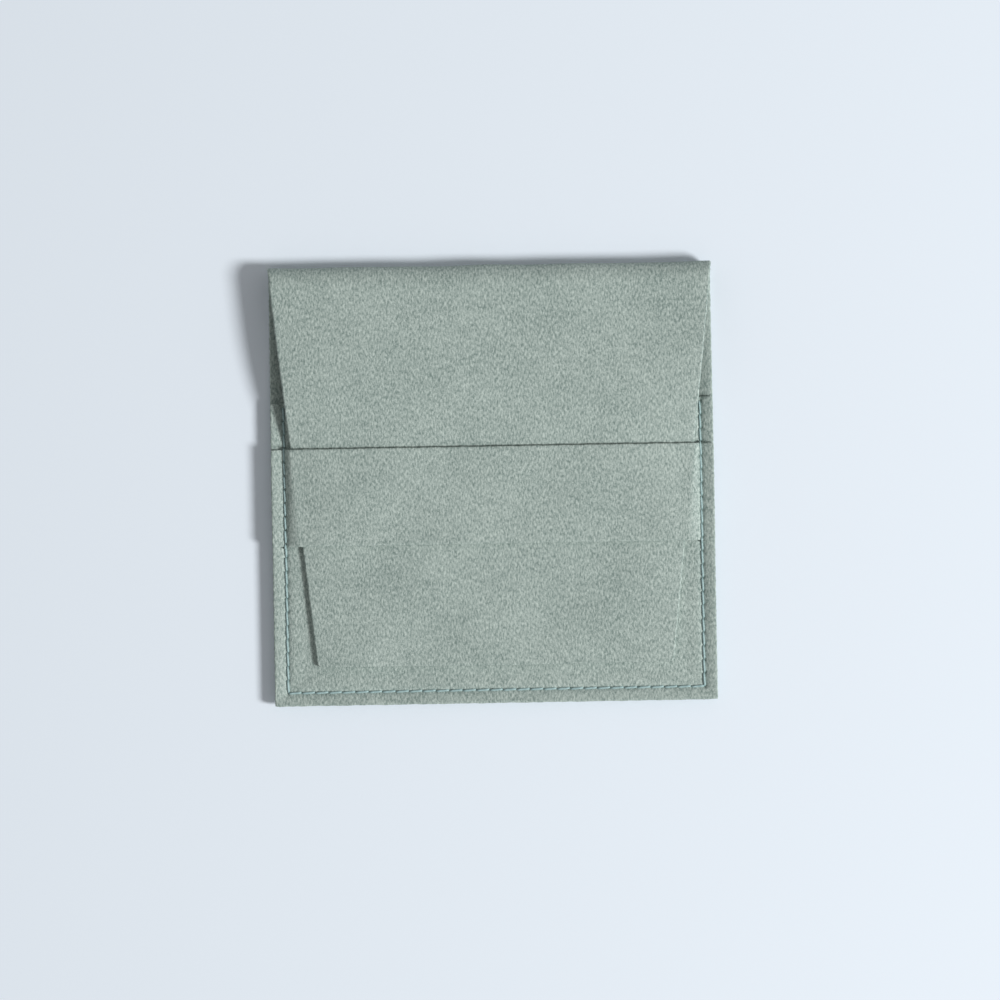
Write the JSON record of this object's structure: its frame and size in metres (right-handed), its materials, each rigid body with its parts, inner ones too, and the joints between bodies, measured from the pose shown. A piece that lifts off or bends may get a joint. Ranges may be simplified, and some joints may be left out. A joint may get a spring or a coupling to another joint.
{
  "type": "card holder",
  "caption": "Soft square card holder: a folded faux-suede envelope whose tapering flap tucks under a sewn band across the front.",
  "frame": {"origin": "middle of the footprint on the table, at the height of the back panel's flat underside", "axes": "+X to the right across the front, +Y towards the top fold, +Z out of the front"},
  "size_m": [0.1, 0.099, 0.007],
  "materials": {
    "suede": "matte",
    "thread": "satin"
  },
  "bodies": {
    "pouch": {"back_panel": "suede", "top_fold": "suede", "pocket_panel": "suede", "band_end_left": "suede", "band_end_right": "suede", "needle_thread": "thread", "bobbin_thread": "thread"},
    "flap": {"flap_upper": "suede", "flap_tongue": "suede"},
    "band": {"retaining_band": "suede"}
  },
  "joints": [
    {"name": "flap_fold", "type": "hinge", "parent": "pouch", "child": "flap", "pos_m": [0, 0.0485, 0.0035], "axis": [-1, 0, 0], "range_deg": [0, 180], "deforming": ["top_fold", "flap_tongue"]},
    {"name": "band_lift", "type": "slide", "parent": "pouch", "child": "band", "axis": [0, 0, 1], "range_m": [0, 0.004]}
  ]
}
